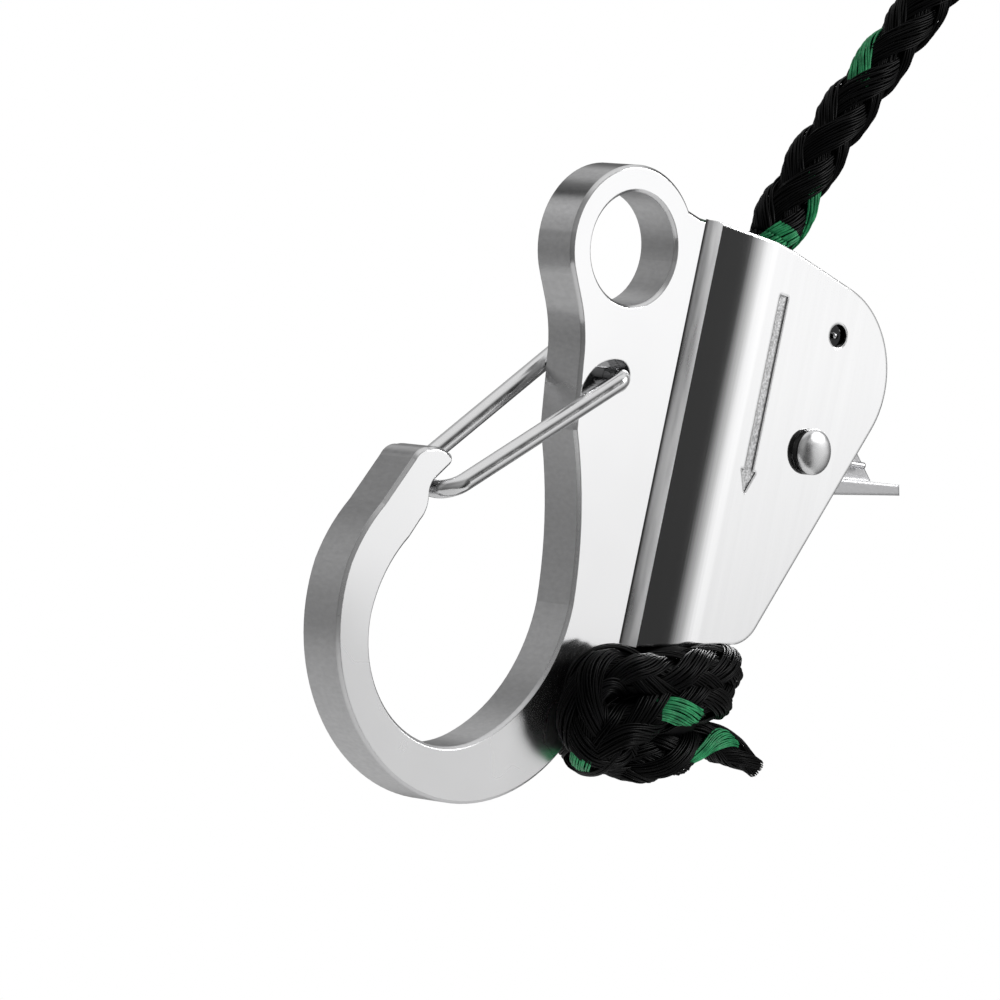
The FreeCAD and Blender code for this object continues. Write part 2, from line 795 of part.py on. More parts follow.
def build_rope():
    exit_direction = leaning("rope_exit_lean")
    climb = (ROPE_EXIT.x - ROPE_FOOT.x) / exit_direction.x
    corner = ROPE_EXIT - exit_direction * climb
    inside = rope_tube("rope_in_lock", [ROPE_FOOT, corner, ROPE_EXIT], size("rope_exit_lean"))
    feature_from_shape("rope_in_lock", inside.cut(under_housing()))

    bend = ROPE_EXIT + exit_direction * size("rope_bend_height")
    top = bend + leaning("rope_lean") * (size("rope_free_length") - size("rope_bend_height"))
    turn = size("rope_lean") - size("rope_exit_lean")
    feature_from_shape("rope_line", rope_tube("rope_line", [ROPE_EXIT, bend, top], turn))
    build_rope_eye(top)


def build_rope_eye(base):
    rope = size("rope_diameter")
    place = Placement(base, Rotation(Vector(0, 1, 0), size("rope_lean")))
    seizing = doc.addObject("Part::Cylinder", "eye_seizing")
    seizing.Label = "eye_seizing"
    seizing.setExpression("Radius", "Dimensions.seizing_diameter / 2")
    seizing.setExpression("Height", "Dimensions.seizing_length")
    seizing.Placement = place
    SUB_PARTS.append(seizing)

    # the eye runs out of one side of the seizing, round the thimble and back into the other
    bend = size("thimble_groove_radius") + rope / 2
    half_spread = size("seizing_diameter") / 2 - rope / 2 - 0.3
    rise = 1.5 * bend
    centre = flat(0, size("seizing_length") + rise)
    start = flat(-half_spread, size("seizing_length"))
    end = flat(half_spread, size("seizing_length"))
    left = centre + Vector(-bend, 0, 0)
    right = centre + Vector(bend, 0, 0)
    pull = Vector(0, 0, rise * 0.45)
    up = Part.BezierCurve()
    up.setPoles([start, start + pull, left - pull, left])
    over = Part.Arc(left, centre + Vector(0, 0, bend), right)
    down = Part.BezierCurve()
    down.setPoles([right, right - pull, end + pull, end])
    eye_path = Part.Wire([curve.toShape() for curve in (up, over, down)])
    feature_from_shape("rope_eye", rod(eye_path, rope), place)

    # thimble: a round steel band inside the eye
    half_width = size("thimble_width") / 2
    outer = size("thimble_groove_radius") - 0.2
    inner = outer - size("thimble_wall")
    section = [
        centre + Vector(outer, -half_width, 0),
        centre + Vector(outer, half_width, 0),
        centre + Vector(inner, half_width, 0),
        centre + Vector(inner, -half_width, 0),
    ]
    face = Part.Face(Part.makePolygon(section + section[:1]))
    feature_from_shape("eye_thimble", face.revolve(centre, Vector(0, 1, 0), 360), place)


# Stopper knot: the lump that the rope's tail is tied into, jammed under the housing


def ellipsoid(name, centre, radii, tilt):
    """radii are half sizes along X, Y and Z before the tilt, each an expression over the sheet."""
    lump = doc.addObject("Part::Ellipsoid", name)
    for field, expression in zip(("Radius2", "Radius3", "Radius1"), radii):
        lump.setExpression(field, expression)
    lump.Angle1 = -90
    lump.Angle2 = 90
    lump.Placement = Placement(centre, Rotation(Vector(0, 1, 0), tilt))
    return lump


def build_stopper_knot():
    wraps = ellipsoid(
        "knot_wraps",
        Vector(35.3, -3.0, -97.6),
        ("Dimensions.knot_length / 2", "Dimensions.knot_depth / 2", "Dimensions.knot_height / 2"),
        -size("bottom_slope"),
    )
    # the turn that bears on the plate's front face
    side_turn = ellipsoid(
        "knot_side_turn",
        Vector(9.6, -12.4, -99.0),
        ("0.8 * Dimensions.rope_diameter", "0.6 * Dimensions.rope_diameter",
         "1.15 * Dimensions.rope_diameter"),
        14.0,
    )
    upper_turn = ellipsoid(
        "knot_upper_turn",
        Vector(38.8, -3.0, -89.0),
        ("1.9 * Dimensions.rope_diameter", "1.45 * Dimensions.rope_diameter",
         "0.9 * Dimensions.rope_diameter"),
        -size("bottom_slope"),
    )
    tail = doc.addObject("Part::Cone", "knot_tail")
    tail.setExpression("Radius1", "0.55 * Dimensions.rope_diameter")
    tail.setExpression("Radius2", "0.42 * Dimensions.rope_diameter")
    tail.setExpression("Height", "Dimensions.knot_tail")
    tail.Placement = Placement(Vector(44.5, -2.4, -95.6), Rotation(Vector(0, 1, 0), 104))
    whole = doc.addObject("Part::MultiFuse", "knot_whole")
    whole.Shapes = [wraps, side_turn, upper_turn, tail]
    doc.recompute()

    # it clears the plate on all sides and bears on the housing's bottom edge
    gap = size("knot_gap") / 2
    reach = 60.0
    plate_room = Part.makeBox(
        reach,
        size("plate_thickness") + 2 * gap,
        reach,
        Vector(FOLD_LEFT + gap - reach, -HALF_PLATE - gap, size("housing_bottom") - 50.0),
    )
    knot = whole.Shape.common(under_housing()).cut(plate_room)
    feature_from_shape("stopper_knot", knot)


def check_and_export():
    doc.recompute()
    for item in doc.Objects:
        if "Invalid" in item.State or "Error" in item.State:
            raise RuntimeError(f"{item.Name} is {item.State}")
    os.makedirs("parts", exist_ok=True)
    for part in SUB_PARTS:
        shape = part.Shape
        if shape.isNull() or not shape.isValid() or not shape.Solids:
            raise RuntimeError(f"{part.Label} has no valid solid")
        shape.exportStep(f"parts/{part.Label}.step")
        box = shape.optimalBoundingBox(False)
        print(
            f"{part.Label:16s} {len(shape.Solids)} solid {shape.Volume:9.1f} mm3  "
            f"x {box.XMin:.1f}..{box.XMax:.1f} y {box.YMin:.1f}..{box.YMax:.1f} "
            f"z {box.ZMin:.1f}..{box.ZMax:.1f}"
        )


build_hook_plate()
build_lock_housing()
build_weld_seam("weld_seam_front", -1)
build_weld_seam("weld_seam_rear", 1)
build_pivot()
build_cam_lever()
build_torsion_spring()
build_gate_wire()
build_rope()
build_stopper_knot()
check_and_export()
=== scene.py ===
import math

import bpy
import numpy as np
from mathutils import Matrix, Vector


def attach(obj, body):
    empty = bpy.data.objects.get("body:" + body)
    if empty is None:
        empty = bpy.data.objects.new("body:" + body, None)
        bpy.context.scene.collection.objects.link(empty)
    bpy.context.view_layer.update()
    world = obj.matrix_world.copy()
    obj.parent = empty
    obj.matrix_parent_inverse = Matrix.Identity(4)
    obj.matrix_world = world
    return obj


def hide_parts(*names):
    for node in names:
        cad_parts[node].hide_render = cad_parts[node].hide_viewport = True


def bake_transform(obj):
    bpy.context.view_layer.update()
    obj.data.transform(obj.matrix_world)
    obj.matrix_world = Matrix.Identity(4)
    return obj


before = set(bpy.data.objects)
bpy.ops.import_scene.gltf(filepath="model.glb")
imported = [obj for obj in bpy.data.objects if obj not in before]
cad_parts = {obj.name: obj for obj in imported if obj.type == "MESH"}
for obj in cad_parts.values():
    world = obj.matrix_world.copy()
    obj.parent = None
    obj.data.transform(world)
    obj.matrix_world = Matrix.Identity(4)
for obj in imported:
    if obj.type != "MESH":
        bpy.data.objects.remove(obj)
bpy.context.view_layer.update()
MM = 0.001
BODY = "frame"

# ---------------------------------------------------------------- camera

# The photograph's view: its direction and roll, and where the camera stands, in mm
AZIMUTH, ELEVATION, ROLL = math.radians(-41.7823), math.radians(-4.9088), math.radians(11.7415)
DISTANCE, MOVED_LEFT, MOVED_DOWN = 1772.07, 25.71, 55.95
FOCAL_LENGTH, SENSOR_WIDTH = 288.0, 36.0
BACK = Vector(
    (
        math.sin(AZIMUTH) * math.cos(ELEVATION),
        -math.cos(AZIMUTH) * math.cos(ELEVATION),
        math.sin(ELEVATION),
    )
)
LEVEL_RIGHT = Vector((0, 0, 1)).cross(BACK).normalized()
LEVEL_UP = BACK.cross(LEVEL_RIGHT)
RIGHT = math.cos(ROLL) * LEVEL_RIGHT + math.sin(ROLL) * LEVEL_UP
UP = -math.sin(ROLL) * LEVEL_RIGHT + math.cos(ROLL) * LEVEL_UP


def make_camera():
    data = bpy.data.cameras.new("camera")
    data.lens = FOCAL_LENGTH
    data.sensor_width = SENSOR_WIDTH
    data.clip_start = 0.05
    data.clip_end = 50.0
    camera = bpy.data.objects.new("camera", data)
    bpy.context.scene.collection.objects.link(camera)
    place = (BACK * DISTANCE - RIGHT * MOVED_LEFT - UP * MOVED_DOWN) * MM
    turned = Matrix((RIGHT, UP, BACK)).transposed().to_4x4()
    camera.matrix_world = Matrix.Translation(place) @ turned
    bpy.context.scene.camera = camera


make_camera()


# ---------------------------------------------------------------- mesh helpers

SPLINE_RESOLUTION = 24


def mm(points):
    return np.array(points, float) * MM


def mesh_object(name, verts, faces, materials, slots=None, smooth=True):
    data = bpy.data.meshes.new(name)
    data.from_pydata([tuple(v) for v in verts], [], [tuple(f) for f in faces])
    for item in materials:
        data.materials.append(item)
    if slots is not None:
        data.polygons.foreach_set("material_index", np.asarray(slots, np.int32))
    data.polygons.foreach_set("use_smooth", np.full(len(data.polygons), smooth))
    data.update()
    piece = bpy.data.objects.new(name, data)
    bpy.context.scene.collection.objects.link(piece)
    return piece


def length_along(line, start=0.0):
    """The length of the line up to each of its points, counted from start."""
    return start + np.r_[0, np.cumsum(np.linalg.norm(np.diff(line, axis=0), axis=1))]


def spline_points(name, points, step):
    """Evenly spaced points along the NURBS spline that has the given control points, in metres."""
    curve = bpy.data.curves.new(name, "CURVE")
    curve.dimensions = "3D"
    curve.resolution_u = SPLINE_RESOLUTION
    spline = curve.splines.new("NURBS")
    spline.points.add(len(points) - 1)
    for point, place in zip(spline.points, points):
        point.co = (*place, 1.0)
    spline.order_u = 3
    spline.use_endpoint_u = True
    holder = bpy.data.objects.new(name, curve)
    bpy.context.scene.collection.objects.link(holder)
    mesh = bpy.data.meshes.new_from_object(holder)
    line = np.array([v.co for v in mesh.vertices], float)
    bpy.data.objects.remove(holder)
    bpy.data.curves.remove(curve)
    bpy.data.meshes.remove(mesh)
    along = length_along(line)
    wanted = np.linspace(0, along[-1], max(3, int(round(along[-1] / step)) + 1))
    return np.stack([np.interp(wanted, along, line[:, i]) for i in range(3)], axis=1)


def unit(vectors):
    return vectors / np.linalg.norm(vectors, axis=-1, keepdims=True)


def carried_frames(line, first=(0.0, 1.0, 0.0)):
    """A pair of side vectors at each point, which turn as little as possible along the line."""
    tangent = unit(np.gradient(line, axis=0))
    side = np.zeros_like(line)
    vector = np.array(first, float)
    for i, along in enumerate(tangent):
        vector = vector - along * vector.dot(along)
        vector /= np.linalg.norm(vector)
        side[i] = vector
    return side, np.cross(tangent, side)


def tube(centres, side, other, radii, sides):
    """Vertices and faces of a closed tube with the given side vectors at each centre."""
    count = len(centres)
    turn = np.linspace(0, 2 * math.pi, sides, endpoint=False)[None, :, None]
    radii = np.broadcast_to(radii, (count,))
    ring = np.cos(turn) * side[:, None, :] + np.sin(turn) * other[:, None, :]
    verts = (centres[:, None, :] + ring * radii[:, None, None]).reshape(-1, 3)
    faces = []
    for i in range(count - 1):
        for j in range(sides):
            k = (j + 1) % sides
            faces.append((i * sides + j, i * sides + k, (i + 1) * sides + k, (i + 1) * sides + j))
    faces.append(tuple(reversed(range(sides))))
    faces.append(tuple((count - 1) * sides + j for j in range(sides)))
    return verts, faces


class Heap:
    """Collects tubes into one mesh."""

    def __init__(self):
        self.verts, self.faces, self.slots, self.total = [], [], [], 0

    def add(self, verts, faces, slots=(0,)):
        """slots holds one material for all faces, or one for each stretch of a tube."""
        self.verts.append(verts)
        self.faces += [tuple(i + self.total for i in face) for face in faces]
        spread = np.repeat(slots, len(faces) // len(slots))
        self.slots += list(spread) + [spread[-1]] * (len(faces) - len(spread))
        self.total += len(verts)

    def piece(self, name, materials):
        return mesh_object(name, np.concatenate(self.verts), self.faces, materials, self.slots)


# ---------------------------------------------------------------- materials

EVEN = (1.0, 1.0, 1.0)
# The middle of a noise's values, over which a look is spread
WIDE, NARROW = (0.3, 0.7), (0.35, 0.65)
# Radii that the bevel shading gives to the edges of the plate and of the sheet
EDGE, SHEET_EDGE = 0.3 * MM, 0.9 * MM
BEVEL_SAMPLES = 6


def new_material(name):
    item = bpy.data.materials.new(name)
    item.use_nodes = True
    return item, item.node_tree, item.node_tree.nodes["Principled BSDF"]


def new_metal(name):
    item, tree, shader = new_material(name)
    shader.inputs["Metallic"].default_value = 1.0
    return item, tree, shader


def add_node(tree, kind, **settings):
    node = tree.nodes.new(kind)
    for name, value in settings.items():
        setattr(node, name, value)
    return node


def stretched_noise(tree, scale, stretch=EVEN, detail=3.0):
    """Noise over the piece's own coordinates, stretched along some of its axes."""
    where = add_node(tree, "ShaderNodeTexCoord")
    mapping = add_node(tree, "ShaderNodeMapping")
    mapping.inputs["Scale"].default_value = stretch
    noise = add_node(tree, "ShaderNodeTexNoise")
    noise.inputs["Scale"].default_value = scale
    noise.inputs["Detail"].default_value = detail
    tree.links.new(where.outputs["Object"], mapping.inputs["Vector"])
    tree.links.new(mapping.outputs["Vector"], noise.inputs["Vector"])
    return noise.outputs["Fac"]


def ranged(tree, value, low, high, to_low, to_high, smooth=False):
    node = add_node(tree, "ShaderNodeMapRange")
    node.interpolation_type = "SMOOTHSTEP" if smooth else "LINEAR"
    ends = {"From Min": low, "From Max": high, "To Min": to_low, "To Max": to_high}
    for name, number in ends.items():
        node.inputs[name].default_value = number
    tree.links.new(value, node.inputs["Value"])
    return node.outputs["Result"]


def mixed(tree, factor, low, high):
    """A value between two others, each a number or a socket."""
    node = add_node(tree, "ShaderNodeMix", data_type="FLOAT")
    for socket, value in ((node.inputs[0], factor), (node.inputs[2], low), (node.inputs[3], high)):
        if isinstance(value, (int, float)):
            socket.default_value = value
        else:
            tree.links.new(value, socket)
    return node.outputs[0]


def mixed_colour(tree, factor, low, high):
    node = add_node(tree, "ShaderNodeMix", data_type="RGBA")
    for socket, value in ((node.inputs[0], factor), (node.inputs[6], low), (node.inputs[7], high)):
        if isinstance(value, tuple):
            socket.default_value = (*value, 1.0)
        else:
            tree.links.new(value, socket)
    return node.outputs[2]


def bumped(tree, shader, heights, edge=0.0):
    """heights holds (socket, strength, distance); they are laid over each other.

    With an edge radius, sharp edges are shaded as if they were polished over.
    """
    last = None
    if edge:
        rounded = add_node(tree, "ShaderNodeBevel", samples=BEVEL_SAMPLES)
        rounded.inputs["Radius"].default_value = edge
        last = rounded.outputs["Normal"]
    for height, strength, distance in heights:
        bump = add_node(tree, "ShaderNodeBump")
        bump.inputs["Strength"].default_value = strength
        bump.inputs["Distance"].default_value = distance
        tree.links.new(height, bump.inputs["Height"])
        if last is not None:
            tree.links.new(last, bump.inputs["Normal"])
        last = bump.outputs["Normal"]
    tree.links.new(last, shader.inputs["Normal"])


def component(tree, vector, axis):
    parts = add_node(tree, "ShaderNodeSeparateXYZ")
    tree.links.new(vector, parts.inputs["Vector"])
    return parts.outputs[axis]


def coordinate(tree, axis):
    """The piece's own coordinate along X, Y or Z, in metres."""
    where = add_node(tree, "ShaderNodeTexCoord")
    return component(tree, where.outputs["Object"], axis)


def split_by_side(tree):
    """0 on surfaces that stand across the plate, 1 on those that lie along it."""
    geometry = add_node(tree, "ShaderNodeNewGeometry")
    facing = magnitude(tree, component(tree, geometry.outputs["True Normal"], "Y"))
    return ranged(tree, facing, 0.55, 0.9, 0.0, 1.0, smooth=True)


def band(tree, value, low, high, soft=0.04 * MM):
    """1 where the value lies between low and high."""
    rise = ranged(tree, value, low - soft, low + soft, 0.0, 1.0, smooth=True)
    fall = ranged(tree, value, high - soft, high + soft, 1.0, 0.0, smooth=True)
    return product(tree, rise, fall)


def product(tree, one, two):
    node = add_node(tree, "ShaderNodeMath", operation="MULTIPLY")
    tree.links.new(one, node.inputs[0])
    tree.links.new(two, node.inputs[1])
    return node.outputs[0]


def magnitude(tree, value):
    node = add_node(tree, "ShaderNodeMath", operation="ABSOLUTE")
    tree.links.new(value, node.inputs[0])
    return node.outputs[0]


def near_axis(tree, centre, radius):
    """1 within a radius of an axis along Y that crosses the middle plane at the centre."""
    where = add_node(tree, "ShaderNodeTexCoord")
    flatten = add_node(tree, "ShaderNodeVectorMath", operation="MULTIPLY")
    flatten.inputs[1].default_value = (1.0, 0.0, 1.0)
    tree.links.new(where.outputs["Object"], flatten.inputs[0])
    far = add_node(tree, "ShaderNodeVectorMath", operation="DISTANCE")
    far.inputs[1].default_value = centre
    tree.links.new(flatten.outputs["Vector"], far.inputs[0])
    return ranged(tree, far.outputs["Value"], radius, radius * 1.02, 1.0, 0.0)


# Heights between which the plate's rim and its faces grow duller downwards
RIM_DULLS, FACE_DULLS = (-36.0 * MM, -28.0 * MM), (-108.0 * MM, -78.0 * MM)
BORE_RADIUS = 12.6 * MM
# Distances from the middle plane between which a recess's floor turns into a face
RECESS_DEPTHS = (5.0 * MM, 5.6 * MM)


def plate_steel():
    """Polished faces, duller towards the bowl, and a rim that is satin below the eye."""
    item, tree, shader = new_metal("plate_steel")
    face = split_by_side(tree)
    height = coordinate(tree, "Z")
    cloud = stretched_noise(tree, 38.0, detail=2.0)
    grain = stretched_noise(tree, 1500.0, (1.0, 0.35, 1.0), 4.0)
    hair = stretched_noise(tree, 1200.0, (1.0, 0.5, 1.0))
    smoothest = ranged(tree, height, *RIM_DULLS, 0.30, 0.10, smooth=True)
    roughest = ranged(tree, height, *RIM_DULLS, 0.38, 0.15, smooth=True)
    rim_rough = mixed(tree, ranged(tree, grain, *WIDE, 0.0, 1.0), smoothest, roughest)
    satin = mixed(tree, near_axis(tree, (0.0, 0.0, 0.0), BORE_RADIUS), rim_rough, 0.40)
    dulling = ranged(tree, height, *FACE_DULLS, 0.30, 0.11, smooth=True)
    polish = mixed(tree, ranged(tree, cloud, *NARROW, 0.0, 0.25), dulling, 0.10)
    tree.links.new(mixed(tree, face, satin, polish), shader.inputs["Roughness"])
    scratches = ranged(tree, hair, *WIDE, 0.0, 1.0)
    rim = mixed_colour(tree, scratches, (0.55, 0.55, 0.555), (0.62, 0.62, 0.625))
    flat_face = mixed_colour(tree, cloud, (0.90, 0.90, 0.905), (0.95, 0.95, 0.955))
    tone = mixed_colour(tree, face, rim, flat_face)
    # the floors of the gate's recesses are painted dark as shade
    depth = magnitude(tree, coordinate(tree, "Y"))
    recess_floor_shade = product(tree, face, ranged(tree, depth, *RECESS_DEPTHS, 1.0, 0.0))
    tone = mixed_colour(tree, recess_floor_shade, tone, (0.26, 0.26, 0.265))
    tree.links.new(tone, shader.inputs["Base Color"])
    rim_grain = mixed(tree, face, hair, 0.5)
    bumped(tree, shader, [(cloud, 0.02, 0.0006), (rim_grain, 0.015, 0.0001)], EDGE)
    return item


# Between each pair one look gives way to the next: the arrow's floor, the sheet's inside, and the
# front half of the housing, which has the hole for the spring's leg. The sheet's inside, the
# arrow's walls and the leg's hole are painted near black as shade
ARROW_DEPTHS, ARROW_SIDES = (-7.95 * MM, -7.6 * MM), (43.0 * MM, 48.4 * MM)
CHEEK_INSIDE, FOLD_INSIDE = (6.1 * MM, 6.3 * MM), (24.0 * MM, 24.4 * MM)
LEG_HOLE, LEG_HOLE_RADIUS = (64.6 * MM, 0.0, -5.0 * MM), 2.62 * MM
IN_FRONT = (-1.0 * MM, 1.0 * MM)


def sheet_steel():
    """The folded housing: polished outside, dull inside with painted shade over it, painted shade
    on the arrow's walls and in the spring leg's hole, and a grained floor in the arrow.
    """
    item, tree, shader = new_metal("sheet_steel")
    cloud = stretched_noise(tree, 30.0, (1.0, 1.0, 0.6), 2.0)
    draw = stretched_noise(tree, 420.0, (1.0, 1.0, 0.03))
    fine = stretched_noise(tree, 2600.0, (1.0, 1.0, 0.015), 2.0)
    sand = stretched_noise(tree, 2400.0)
    along, depth = coordinate(tree, "X"), coordinate(tree, "Y")
    on_face = split_by_side(tree)
    arrow = product(tree, band(tree, depth, *ARROW_DEPTHS), band(tree, along, *ARROW_SIDES))
    arrow_floor = product(tree, arrow, on_face)
    arrow_wall_shade = product(tree, arrow, ranged(tree, on_face, 0.0, 1.0, 1.0, 0.0))
    inside = product(
        tree,
        ranged(tree, magnitude(tree, depth), *CHEEK_INSIDE, 1.0, 0.0),
        ranged(tree, along, *FOLD_INSIDE, 0.0, 1.0),
    )
    hole = product(
        tree,
        near_axis(tree, LEG_HOLE, LEG_HOLE_RADIUS),
        ranged(tree, depth, *IN_FRONT, 1.0, 0.0),
    )
    polish = ranged(tree, cloud, *NARROW, 0.05, 0.085)
    rough = mixed(tree, arrow_floor, polish, ranged(tree, sand, *WIDE, 0.32, 0.55))
    tree.links.new(mixed(tree, inside, rough, 0.5), shader.inputs["Roughness"])
    tone = mixed_colour(tree, draw, (0.88, 0.88, 0.885), (0.95, 0.95, 0.955))
    pits = ranged(tree, sand, *NARROW, 0.0, 1.0)
    grained = mixed_colour(tree, pits, (0.42, 0.42, 0.425), (0.85, 0.85, 0.855))
    tone = mixed_colour(tree, arrow_floor, tone, grained)
    # painted shade: the arrow's walls, the sheet's inside and the leg's hole are painted near black
    dark = (0.035, 0.035, 0.036)
    for mask in (arrow_wall_shade, inside, hole):
        tone = mixed_colour(tree, mask, tone, dark)
    tree.links.new(tone, shader.inputs["Base Color"])
    sanded = mixed(tree, arrow_floor, 0.5, sand)
    heights = [
        (cloud, 0.02, 0.0008),
        (draw, 0.03, 0.0002),
        (fine, 0.02, 0.00004),
        (sanded, 0.25, 0.0001),
    ]
    bumped(tree, shader, heights, SHEET_EDGE)
    return item


# Positions along X over which the painted shade at the weld's foot fades out
WELD_FOOT_SHADE = (19.6 * MM, 20.4 * MM)


def weld_steel():
    """A ground bead, with painted shade along its foot."""
    item, tree, shader = new_metal("weld_ground")
    ripple = stretched_noise(tree, 300.0, (1.0, 1.0, 0.10))
    fine = stretched_noise(tree, 1500.0, (1.0, 1.0, 0.02), 2.0)
    tree.links.new(ranged(tree, ripple, *WIDE, 0.24, 0.36), shader.inputs["Roughness"])
    crests = ranged(tree, ripple, 0.35, 0.6, 0.0, 1.0)
    tone = mixed_colour(tree, crests, (0.80, 0.80, 0.805), (0.97, 0.97, 0.975))
    # painted shade: the bead is darkened along its foot
    foot_shade = ranged(tree, coordinate(tree, "X"), *WELD_FOOT_SHADE, 1.0, 0.0, smooth=True)
    tree.links.new(mixed_colour(tree, foot_shade, tone, (0.12, 0.12, 0.12)), shader.inputs["Base Color"])
    bumped(tree, shader, [(ripple, 0.10, 0.0003), (fine, 0.05, 0.00005)])
    return item


def plain_metal(name, tone, rough, scale, stretch=EVEN, bump=0.03, edge=0.0):
    """One grain over the whole piece, with the least and the most roughness given."""
    item, tree, shader = new_metal(name)
    noise = stretched_noise(tree, scale, stretch)
    tree.links.new(ranged(tree, noise, *WIDE, *rough), shader.inputs["Roughness"])
    dark = tuple(c * 0.88 for c in tone)
    tree.links.new(mixed_colour(tree, noise, dark, tone), shader.inputs["Base Color"])
    bumped(tree, shader, [(noise, bump, 0.0001)], edge)
    return item


# Depths along Y of the head's skirt, which is painted near black as shade under the head
RIVET_SKIRT_SHADE = (-9.6 * MM, -8.0 * MM)


def rivet_steel():
    """A satin dome over a skirt painted near black as shade under the head."""
    item, tree, shader = new_metal("rivet_satin")
    noise = stretched_noise(tree, 700.0)
    skirt_shade = band(tree, coordinate(tree, "Y"), *RIVET_SKIRT_SHADE)
    tree.links.new(ranged(tree, noise, *WIDE, 0.24, 0.32), shader.inputs["Roughness"])
    dome = mixed_colour(tree, noise, (0.70, 0.70, 0.705), (0.80, 0.80, 0.805))
    tree.links.new(mixed_colour(tree, skirt_shade, dome, (0.03, 0.03, 0.03)), shader.inputs["Base Color"])
    bumped(tree, shader, [(noise, 0.03, 0.0001)])
    return item


ROUGHNESS_SPREAD = 0.16


def filament(name, dark, light, roughness, shine):
    """Glossy synthetic filament."""
    item, tree, shader = new_material(name)
    noise = stretched_noise(tree, 420.0, detail=2.0)
    fine = stretched_noise(tree, 4200.0, (1.0, 1.0, 0.25), 2.0)
    tone = mixed_colour(tree, ranged(tree, noise, *NARROW, 0.0, 1.0), dark, light)
    tree.links.new(tone, shader.inputs["Base Color"])
    rough = ranged(tree, fine, *WIDE, roughness, roughness + ROUGHNESS_SPREAD)
    tree.links.new(rough, shader.inputs["Roughness"])
    shader.inputs["Specular IOR Level"].default_value = shine
    bumped(tree, shader, [(fine, 0.12, 0.00008)])
    return item


def plastic(name, dark, light):
    item, tree, shader = new_material(name)
    noise = stretched_noise(tree, 1800.0)
    tree.links.new(ranged(tree, noise, *WIDE, 0.42, 0.58), shader.inputs["Roughness"])
    tree.links.new(mixed_colour(tree, noise, dark, light), shader.inputs["Base Color"])
    bumped(tree, shader, [(noise, 0.08, 0.00005)])
    return item


METAL = {
    "plate": plate_steel(),
    "sheet": sheet_steel(),
    "weld": weld_steel(),
    "wire": plain_metal(
        "wire_polished", (0.84, 0.84, 0.845), (0.13, 0.20), scale=300.0, bump=0.015
    ),
    "pin": plain_metal("pin_polished", (0.82, 0.82, 0.825), (0.08, 0.16), scale=420.0),
    "rivet": rivet_steel(),
    "cam": plain_metal(
        "cam_satin",
        (0.60, 0.60, 0.61),
        (0.30, 0.42),
        scale=1200.0,
        stretch=(1.0, 0.3, 1.0),
        bump=0.12,
        edge=SHEET_EDGE,
    ),
    "spring": plain_metal("spring_drawn", (0.62, 0.62, 0.63), (0.18, 0.28), scale=900.0),
    "thimble": plain_metal("thimble_polished", (0.80, 0.80, 0.81), (0.10, 0.18), scale=420.0),
    "bush": plain_metal("bush_bronze", (0.72, 0.54, 0.27), (0.24, 0.34), scale=900.0),
}
ROPE_BLACK = filament(
    "rope_black", (0.001, 0.001, 0.001), (0.002, 0.002, 0.0025), roughness=0.28, shine=0.09
)
ROPE_GREEN = filament(
    "rope_green", (0.006, 0.20, 0.07), (0.04, 0.42, 0.16), roughness=0.34, shine=0.30
)
TWINE = filament(
    "whipping_twine", (0.004, 0.004, 0.004), (0.014, 0.014, 0.015), roughness=0.40, shine=0.30
)
SPACER = plastic("spacer_plastic", (0.035, 0.035, 0.037), (0.049, 0.049, 0.0518))

CARRIED = {
    "hook_plate": "plate",
    "lock_housing": "sheet",
    "weld_seam_front": "weld",
    "weld_seam_rear": "weld",
    "gate_wire": "wire",
    "pin_washer": "pin",
    "cam_lever": "cam",
    "cam_bush": "bush",
}
for node, look in CARRIED.items():
    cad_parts[node].data.materials[0] = METAL[look]
for node in ("spacer_front", "spacer_rear"):
    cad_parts[node].data.materials[0] = SPACER


# ---------------------------------------------------------------- braided rope

ROPE_STEP = 0.9 * MM
BRAID_PITCH = 60.0 * MM
STRANDS_EACH_WAY = 4
FILAMENTS = 12
STRAND_HALF_ANGLE = 0.62
STRAND_RADIUS = 4.05 * MM
STRAND_RISE = 0.75 * MM
STRAND_CROWN = 0.85 * MM
# A wave pushed past 1 and cut off there keeps a strand up, or down, for longer
WAVE_GAIN = 1.25
CROWN_FALL = 0.9
FILAMENT_RADIUS, FILAMENT_SIDES = 0.27 * MM, 5
CORE_RADIUS, CORE_SIDES = 3.4 * MM, 10
# The strands of one way lie outermost on this side of the rope and on the side across from it,
# those of the other way on the sides between
UPPER_SIDE = math.radians(155)
FIRST_TURN = {1: math.radians(272), -1: math.radians(173)}


def strand_line(line, frames, along, scale, way, strand, position, wobble, uneven):
    """Centres of one filament; position runs from -1 to 1 across its strand."""
    side, other = frames
    first_turn = strand * 2 * math.pi / STRANDS_EACH_WAY + FIRST_TURN[way]
    turn = way * 2 * math.pi * along / BRAID_PITCH + first_turn
    wave = way * np.cos(2 * (turn - UPPER_SIDE))
    lift = STRAND_RADIUS + STRAND_RISE * np.clip(WAVE_GAIN * wave, -1, 1)
    angle = turn + position * STRAND_HALF_ANGLE + wobble
    crown = STRAND_CROWN * math.sqrt(1 - CROWN_FALL * position**2)
    outward = np.cos(angle)[:, None] * side + np.sin(angle)[:, None] * other
    return line + outward * ((lift + crown + uneven) * scale)[:, None], outward


def slow_wave(random, along, reach, paces):
    """A slow wave along a filament, with a pace and a start of its own."""
    return reach * np.sin(along / MM * random.uniform(*paces) + random.uniform(0, 6.28))


